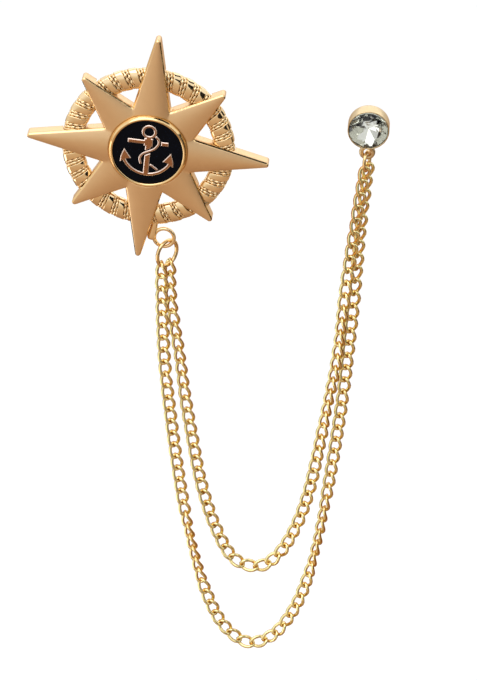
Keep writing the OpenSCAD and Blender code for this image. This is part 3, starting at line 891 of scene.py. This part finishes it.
def link_shape(chain):
    """One curb link about its own centre: a squared oval of round wire, longer than wide, whose two ends
    are turned opposite ways about its long axis, so that neighbours lie flat in each other, and which
    leans a little in its own plane. The faces on the wire's inner and outer side, next to the plane of the
    oval, have the second material, a darker gold: painted shade that outlines each link."""
    steps, sides, slack = 18, 12, 0.02
    # Painted shade: the faces next to the oval's plane get the darker gold
    painted_shade_faces = (1, 0, 0, 0, 0, 1, 1, 0, 0, 0, 0, 1)
    turn = np.arange(steps) / steps * TURN
    half_l = (chain.pitch + chain.wire) / 2 + slack
    half_w = (chain.width - chain.wire) / 2
    x = half_l * round_wave(np.cos(turn), chain.squareness)
    y = half_w * round_wave(np.sin(turn), chain.squareness)
    twist = -chain.twist * x / half_l
    y, z = y * np.cos(twist), y * np.sin(twist)
    line = turned(np.stack((x, y, z), axis=-1), -chain.lean)
    ups = np.broadcast_to((0.0, 0.0, 1.0), line.shape)
    points, faces, _ = closed_tube(line, ups, chain.wire / 2, chain.wire / 2, sides)
    return points, faces, np.tile(painted_shade_faces, steps)


def strand(route, turns, chain, ring_wires, seed):
    """Every link of a strand: copies of one link set at even steps along the route, each lying on the chord
    of its own stretch and turned about it. The first and the last link hang on the jump rings' wires."""
    curve = smooth_route(route)
    along = np.concatenate(([0], np.cumsum(np.linalg.norm(np.diff(curve, axis=0), axis=1))))
    half_l = (chain.pitch + chain.wire) / 2
    first = half_l - (ring_wires[0] + chain.wire) / 2
    last = along[-1] - half_l + (ring_wires[1] + chain.wire) / 2
    count = int(round((last - first) / chain.pitch)) + 1
    middles = np.linspace(first, last, count)

    def at(s):
        """Points of the route at lengths s along it."""
        return np.stack([np.interp(s, along, curve[:, k]) for k in range(3)], axis=-1)

    chord = half_l * 0.8
    heading = unit(at(middles + chord) - at(middles - chord))
    across = unit(np.cross(LINK_FRONT, heading))
    normal = np.cross(heading, across)
    shares, degrees = np.array(turns).T
    jitter = np.random.default_rng(seed).normal(0, UNEVEN, count)
    roll = np.radians(np.interp(middles / along[-1], shares, degrees) + jitter)[:, None]
    side = across * np.cos(roll) + normal * np.sin(roll)
    axes = np.stack((heading, side, np.cross(heading, side)), axis=1)
    # sides marks each face that gets the painted shade of the links' sides
    points, faces, sides = link_shape(chain)
    placed = at(middles)[:, None] + np.einsum("vk,nkc->nvc", points, axes)
    links = (faces[None] + np.arange(count)[:, None, None] * len(points)).reshape(-1, 4)
    return to_face(placed).reshape(-1, 3), links, np.tile(sides, count)


def build_chains():
    """The two strands of curb chain, hooked on the jump rings at both ends."""
    rings, chain = sizes("pin_rings"), sizes("pin_chain")
    star_centre, star_r = ring_place(STAR_RING_LOW, STAR_RING_HIGH, rings.star_ring_wire)
    stud_centre, stud_r = ring_place(STUD_RING_LOW, STUD_RING_HIGH, rings.stud_ring_wire)
    wires = (rings.star_ring_wire, rings.stud_ring_wire)
    for name, node, route, turns, seed in (
            ("outer_curb_chain", "chain_outer", OUTER_ROUTE, OUTER_TURNS, 3),
            ("inner_curb_chain", "chain_inner", INNER_ROUTE, INNER_TURNS, 8)):
        route = hooked(route, star_centre, star_r, rings.star_ring_turn, 0)
        route = hooked(route, stud_centre, stud_r, rings.stud_ring_turn, -1)
        make_piece(name, [strand(route, turns, chain, wires, seed)], (chain_gold(), painted_shade_chain_gold()),
                   [node])


# Stud

def build_stud_cup():
    """The stud's cup: a straight round wall, drawn in at the back by a quarter circle, with a thin lip round
    the stone that is half a circle, a ledge and a seat inside, and the eye soldered under it."""
    stud = sizes("pin_stud")
    r = (STUD_HIGH[0] - STUD_LOW[0]) / 2
    centre = ((STUD_HIGH[0] + STUD_LOW[0]) / 2, STUD_HIGH[1] - r)
    depth = STUD_HIGH[2]
    corner = 0.5
    round_back = [(r - corner + corner * math.sin(a), corner - corner * math.cos(a))
                  for a in np.linspace(0, math.pi / 2, 7)]
    lip = stud.wall / 2
    round_lip = [(r - lip + lip * math.cos(a), depth - lip + lip * math.sin(a))
                 for a in np.linspace(0, math.pi, 7)]
    inside = r - stud.wall
    ledge_w, ledge = 0.25, depth - 0.35
    seat = STONE_LOW[2] - GAP
    profile = [(AXIS_R, RECESS_H), (RECESS_R, RECESS_H), (RECESS_R, 0), *round_back, *round_lip,
               (inside, ledge), (inside - ledge_w, ledge), (inside - ledge_w, seat), (AXIS_R, seat)]
    cup = lathe(profile, 96, centre)
    eye = wire_ring(np.array((stud.eye_x, stud.eye_z, stud.eye_h)), stud.eye_r, stud.eye_wire, steps=48)
    make_piece("stud_cup_with_eye", [cup, eye], (stud_gold(),), ["stud_cup"])


def build_stone():
    """The stone: a round brilliant with a table, star, kite and girdle facets above, and foiled facets
    below. Facet corners stand on circles, 8 or 16 to the turn, all turned by the same share of a step."""
    stud = sizes("pin_stud")
    r = (STONE_HIGH[0] - STONE_LOW[0]) / 2
    centre = np.array(((STONE_HIGH[0] + STONE_LOW[0]) / 2, (STONE_HIGH[1] + STONE_LOW[1]) / 2))
    top = STONE_HIGH[2]
    girdle_top = top - stud.crown_h
    girdle_low = girdle_top - stud.girdle_h
    bottom = STONE_LOW[2]
    step, share = TURN / 16, 0.4

    def circle(radius, h, offset, count):
        """Corners at a radius and height, from the place of one of 16 steps on."""
        a = (np.arange(count) * (16 // count) + offset + share) * step
        ring = np.stack((np.cos(a), np.sin(a), np.zeros(count)), axis=-1)
        return ring * radius + (*centre, h)

    def on_kites(radius, low_r, high_r, low_h, high_h):
        """Height at which a corner half way between two kites lies on both their planes."""
        reach = radius * math.cos(step)
        return low_h + (high_h - low_h) * (low_r - reach) / (low_r - high_r)

    star_r, belly_r = 2.45, 1.9
    points = np.concatenate((
        circle(stud.table_r, top, 0, 8),
        circle(star_r, on_kites(star_r, r, stud.table_r, girdle_top, top), 1, 8),
        circle(r, girdle_top, 0, 16),
        circle(r, girdle_low, 0, 16),
        circle(belly_r, on_kites(belly_r, r, 0.0, girdle_low, bottom), 1, 8),
        [[*centre, bottom]]))
    table, star, upper, lower, belly, culet = 0, 8, 16, 32, 48, 56
    k = np.arange(8)
    nxt = (k + 1) % 8
    g, m, n = upper + 2 * k, upper + 2 * k + 1, upper + (2 * k + 2) % 16
    gl, ml, nl = lower + 2 * k, lower + 2 * k + 1, lower + (2 * k + 2) % 16
    prev = (k - 1) % 8
    crown = [np.stack(c, -1) for c in (
        (table + k, table + nxt, star + k),
        (star + k, g, m), (star + k, m, n),
        (table + k, star + prev, g, star + k))]
    around = np.arange(16)
    onward = (around + 1) % 16
    wall = np.stack((upper + around, upper + onward, lower + onward, lower + around), -1)
    back = [np.stack(c, -1) for c in (
        (belly + k, gl, ml), (belly + k, ml, nl), (culet + 0 * k, belly + prev, gl, belly + k))]
    clear = [tuple(f) for part in (*crown, wall) for f in part.tolist()] + [tuple(range(8))]
    foiled = [tuple(f) for part in back for f in part.tolist()]
    mesh = bpy.data.meshes.new("cut_stone")
    mesh.from_pydata((to_row(points) * MM).tolist(), [], clear + foiled)
    mesh.polygons.foreach_set("material_index", np.repeat((0, 1), (len(clear), len(foiled))))
    with edited(mesh) as edit:
        bmesh.ops.recalc_face_normals(edit, faces=edit.faces)
    for material in (cut_crystal(), silver_foil()):
        mesh.materials.append(material)
    piece = put("cut_stone", mesh)
    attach(piece, "root")
    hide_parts("stone")


def finish_posts():
    """The posts keep their CAD meshes and get the finish of drawn steel."""
    for node in ("star_post", "stud_post"):
        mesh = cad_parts[node].data
        mesh.materials.clear()
        mesh.materials.append(drawn_steel())


# Stage

# Daylight by height, from straight down to straight up: what lies below the pin is a warm dim room
SKY = ((-1.0, "#AA896F"), (-0.5, "#CBAE92"), (-0.2, "#D8C8B4"), (0.0, "#F0EAE0"), (0.2, "#FFFFFF"),
       (1.0, "#FFFFFF"))

CARD_LIGHT, CARD_DARK = "#FFFFFF", "#0A0604"

# Cards that face the pin's middle: centre, width and height in metres, and the strength of a light or 0
# for a flag. The top light gives the star's faces their sheen, the left one lights the chain's left sides,
# and the flags give the star's edges, the rope, the chain and the cup their dark lines
PIN_MIDDLE = (0.015, 0.0, -0.04)
CARDS = {
    "top_softbox": ((-0.2, -0.35, 0.75), 0.8, 0.6, 1.4),
    "back_softbox": ((0.05, 0.55, 0.35), 0.9, 0.45, 0.4),
    "left_softbox": ((-0.55, -0.12, -0.3), 0.4, 0.4, 1.0),
    "left_flag": ((-0.38, 0.4, -0.33), 0.4, 0.35, 0),
    "right_flag": ((0.56, -0.04, -0.17), 0.4, 0.7, 0),
    "top_flag": ((0.19, 0.0, 0.37), 0.22, 0.26, 0),
    "front_flag": ((0.262, -0.429, 0.03), 0.36, 0.4, 0),
}


def place_camera():
    """The camera on its line of sight through the target, upright."""
    view = bpy.context.scene.pin_camera
    target = Vector(view.target)
    back = Vector((math.sin(view.azimuth) * math.cos(view.elevation),
                   -math.cos(view.azimuth) * math.cos(view.elevation), math.sin(view.elevation)))
    data = bpy.data.cameras.new("camera")
    data.lens = view.lens
    data.clip_start, data.clip_end = 0.01, 20
    camera = put("camera", data)
    camera.location = target + back * view.distance
    camera.rotation_euler = back.to_track_quat("Z", "Y").to_euler()
    bpy.context.scene.camera = camera


def matte(name, rgba, roughness):
    """A plain material of the stage, and its shader."""
    material = bpy.data.materials.new(name)
    material.use_nodes = True
    shader = material.node_tree.nodes["Principled BSDF"]
    shader.inputs["Base Color"].default_value = rgba
    shader.inputs["Roughness"].default_value = roughness
    return material, shader


def sheet(name, width, depth, material):
    """A flat rectangle about its own centre, face up."""
    w, d = width / 2, depth / 2
    mesh = bpy.data.meshes.new(name)
    mesh.from_pydata([(-w, -d, 0), (w, -d, 0), (w, d, 0), (-w, d, 0)], [], [(0, 1, 2, 3)])
    mesh.materials.append(material)
    return put(name, mesh)


def card(name, centre, width, height, strength):
    """A flat card that faces the pin: a soft light where it has a strength, and else a black flag, which only
    shows in the metal's mirror images. The camera doesn't see either."""
    material, shader = matte(name, linear(CARD_LIGHT if strength else CARD_DARK), 0.9)
    if strength:
        shader.inputs["Emission Color"].default_value = linear(CARD_LIGHT)
        shader.inputs["Emission Strength"].default_value = strength
    made = sheet(name, width, height, material)
    made.location = centre
    made.rotation_euler = (Vector(PIN_MIDDLE) - Vector(centre)).to_track_quat("Z", "Y").to_euler()
    made.visible_camera = False
    made.visible_diffuse = bool(strength)
    made.visible_shadow = bool(strength)
    made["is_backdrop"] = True


def lay_floor():
    """A wide pale floor well below the hanging chain."""
    side, drop = 12.0, 0.5
    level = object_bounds()[0][2] - drop
    material, _ = matte("pale_floor", tuple(bpy.context.scene.pin_colours.floor), 0.8)
    floor = sheet("floor", side, side, material)
    floor.location.z = level
    floor.visible_glossy = False
    floor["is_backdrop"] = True


def light_stage():
    """Soft daylight from all round, whose colour goes by height, and the cards."""
    world = bpy.data.worlds.new("soft_daylight")
    world.use_nodes = True
    tree = world.node_tree
    direction = add(tree, "ShaderNodeTexCoord").outputs["Generated"]
    height = add(tree, "ShaderNodeSeparateXYZ", {"Vector": direction}).outputs["Z"]
    share = add(tree, "ShaderNodeMapRange", {"Value": height, "From Min": -1.0, "From Max": 1.0})
    sky = add(tree, "ShaderNodeValToRGB", {"Fac": share.outputs["Result"]})
    stops = sky.color_ramp.elements
    for place, code in SKY[1:-1]:
        stops.new((place + 1) / 2)
    for stop, (place, code) in zip(stops, SKY):
        stop.position = (place + 1) / 2
        stop.color = linear(code)
    tree.links.new(sky.outputs["Color"], tree.nodes["Background"].inputs["Color"])
    bpy.context.scene.world = world
    bpy.context.scene.view_settings.view_transform = "Standard"
    for name, (centre, width, height, strength) in CARDS.items():
        card(name, centre, width, height, strength)


# Operators

class TIEPIN_OT_star(bpy.types.Operator):
    """Build the satin compass star"""
    bl_idname = "tie_pin.star"
    bl_label = "Compass star"
    bl_options = {"REGISTER", "UNDO"}

    def execute(self, context):
        build_star()
        return {"FINISHED"}


class TIEPIN_OT_rope_ring(bpy.types.Operator):
    """Build the wound rope ring and its hanging eye"""
    bl_idname = "tie_pin.rope_ring"
    bl_label = "Rope ring"
    bl_options = {"REGISTER", "UNDO"}

    def execute(self, context):
        build_rope_ring()
        return {"FINISHED"}


class TIEPIN_OT_medallion_cup(bpy.types.Operator):
    """Build the medallion's gold cup"""
    bl_idname = "tie_pin.medallion_cup"
    bl_label = "Medallion cup"
    bl_options = {"REGISTER", "UNDO"}

    def execute(self, context):
        build_medallion_cup()
        return {"FINISHED"}


class TIEPIN_OT_enamel(bpy.types.Operator):
    """Build the disc of black enamel"""
    bl_idname = "tie_pin.enamel"
    bl_label = "Enamel"
    bl_options = {"REGISTER", "UNDO"}

    def execute(self, context):
        build_enamel()
        return {"FINISHED"}


class TIEPIN_OT_anchor(bpy.types.Operator):
    """Build the raised anchor"""
    bl_idname = "tie_pin.anchor"
    bl_label = "Anchor"
    bl_options = {"REGISTER", "UNDO"}

    def execute(self, context):
        build_anchor()
        return {"FINISHED"}


class TIEPIN_OT_jump_rings(bpy.types.Operator):
    """Build the two jump rings"""
    bl_idname = "tie_pin.jump_rings"
    bl_label = "Jump rings"
    bl_options = {"REGISTER", "UNDO"}

    def execute(self, context):
        build_jump_rings()
        return {"FINISHED"}


class TIEPIN_OT_chains(bpy.types.Operator):
    """Build the two strands of curb chain"""
    bl_idname = "tie_pin.chains"
    bl_label = "Chains"
    bl_options = {"REGISTER", "UNDO"}

    def execute(self, context):
        build_chains()
        return {"FINISHED"}


class TIEPIN_OT_stud_cup(bpy.types.Operator):
    """Build the stud's cup and its soldered eye"""
    bl_idname = "tie_pin.stud_cup"
    bl_label = "Stud cup"
    bl_options = {"REGISTER", "UNDO"}

    def execute(self, context):
        build_stud_cup()
        return {"FINISHED"}


class TIEPIN_OT_stone(bpy.types.Operator):
    """Build the faceted stone"""
    bl_idname = "tie_pin.stone"
    bl_label = "Stone"
    bl_options = {"REGISTER", "UNDO"}

    def execute(self, context):
        build_stone()
        return {"FINISHED"}


class TIEPIN_OT_posts(bpy.types.Operator):
    """Give the posts their finish"""
    bl_idname = "tie_pin.posts"
    bl_label = "Posts"
    bl_options = {"REGISTER", "UNDO"}

    def execute(self, context):
        finish_posts()
        return {"FINISHED"}


def set_stage():
    """Camera, floor and lights."""
    place_camera()
    lay_floor()
    light_stage()


class TIEPIN_OT_stage(bpy.types.Operator):
    """Place the camera, the floor and the lights"""
    bl_idname = "tie_pin.stage"
    bl_label = "Stage"
    bl_options = {"REGISTER", "UNDO"}

    def execute(self, context):
        set_stage()
        return {"FINISHED"}


OPERATORS = (TIEPIN_OT_star, TIEPIN_OT_rope_ring, TIEPIN_OT_medallion_cup, TIEPIN_OT_enamel,
             TIEPIN_OT_anchor, TIEPIN_OT_jump_rings, TIEPIN_OT_chains, TIEPIN_OT_stud_cup, TIEPIN_OT_stone,
             TIEPIN_OT_posts, TIEPIN_OT_stage)


class TIEPIN_PT_pieces(bpy.types.Panel):
    """Sidebar panel that lists the pieces and their sizes"""
    bl_idname = "TIEPIN_PT_pieces"
    bl_label = "Star tie pin"
    bl_space_type = "VIEW_3D"
    bl_region_type = "UI"
    bl_category = "Tie pin"

    def draw(self, context):
        for operator in OPERATORS:
            self.layout.operator(operator.bl_idname)
        for group, kind in GROUPS.items():
            box = self.layout.box()
            box.label(text=kind.__doc__)
            for key in kind.__annotations__:
                box.prop(getattr(context.scene, group), key)


def register():
    """Registers the property groups, the operators and the panel."""
    for kind in (*GROUPS.values(), *OPERATORS, TIEPIN_PT_pieces):
        bpy.utils.register_class(kind)
    for group, kind in GROUPS.items():
        setattr(bpy.types.Scene, group, PointerProperty(type=kind))


def unregister():
    """Takes them out again."""
    for group in GROUPS:
        delattr(bpy.types.Scene, group)
    for kind in (TIEPIN_PT_pieces, *reversed(OPERATORS), *GROUPS.values()):
        bpy.utils.unregister_class(kind)


def main():
    """Builds the whole pin, piece by piece."""
    register()
    for operator in OPERATORS:
        group, name = operator.bl_idname.split(".")
        getattr(getattr(bpy.ops, group), name)()


if __name__ == "__main__":
    main()
